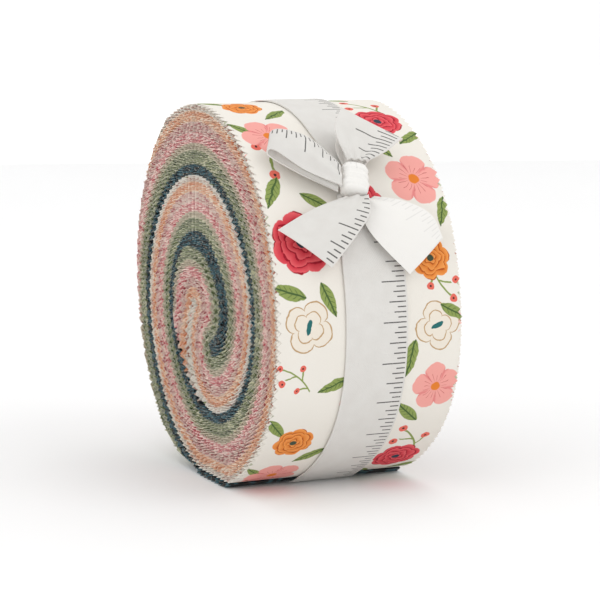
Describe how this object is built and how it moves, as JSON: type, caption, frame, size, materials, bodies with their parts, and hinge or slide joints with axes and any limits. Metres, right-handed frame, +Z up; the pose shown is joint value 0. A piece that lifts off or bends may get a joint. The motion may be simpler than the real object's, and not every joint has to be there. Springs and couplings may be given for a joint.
{
  "type": "rolled quilting fabric strips",
  "caption": "Roll of folded pre-cut quilting cotton strips with pinked edges, wound round an S-shaped core and tied round the middle with a cotton ribbon in a bow.",
  "frame": {"origin": "on the surface it stands on, below the middle of the roll's section and halfway along its axis", "axes": "+Z up, X along the roll's axis with one spiral face towards -X, the bow towards -Y"},
  "size_m": [0.0636, 0.1215, 0.1226],
  "materials": {
    "strip_cotton": "printed woven quilting cotton, pinked edges",
    "dark_cotton": "dark teal woven quilting cotton, pinked edges",
    "ribbon_cotton": "off-white cotton ribbon printed with plain ruler marks"
  },
  "bodies": {
    "root": {"roll": "strip_cotton", "loose_end": "dark_cotton", "tie_band": "ribbon_cotton", "tie_knot": "ribbon_cotton", "tie_loop_left": "ribbon_cotton", "tie_loop_right": "ribbon_cotton", "tie_tail_left": "ribbon_cotton", "tie_tail_right": "ribbon_cotton"}
  },
  "joints": []
}
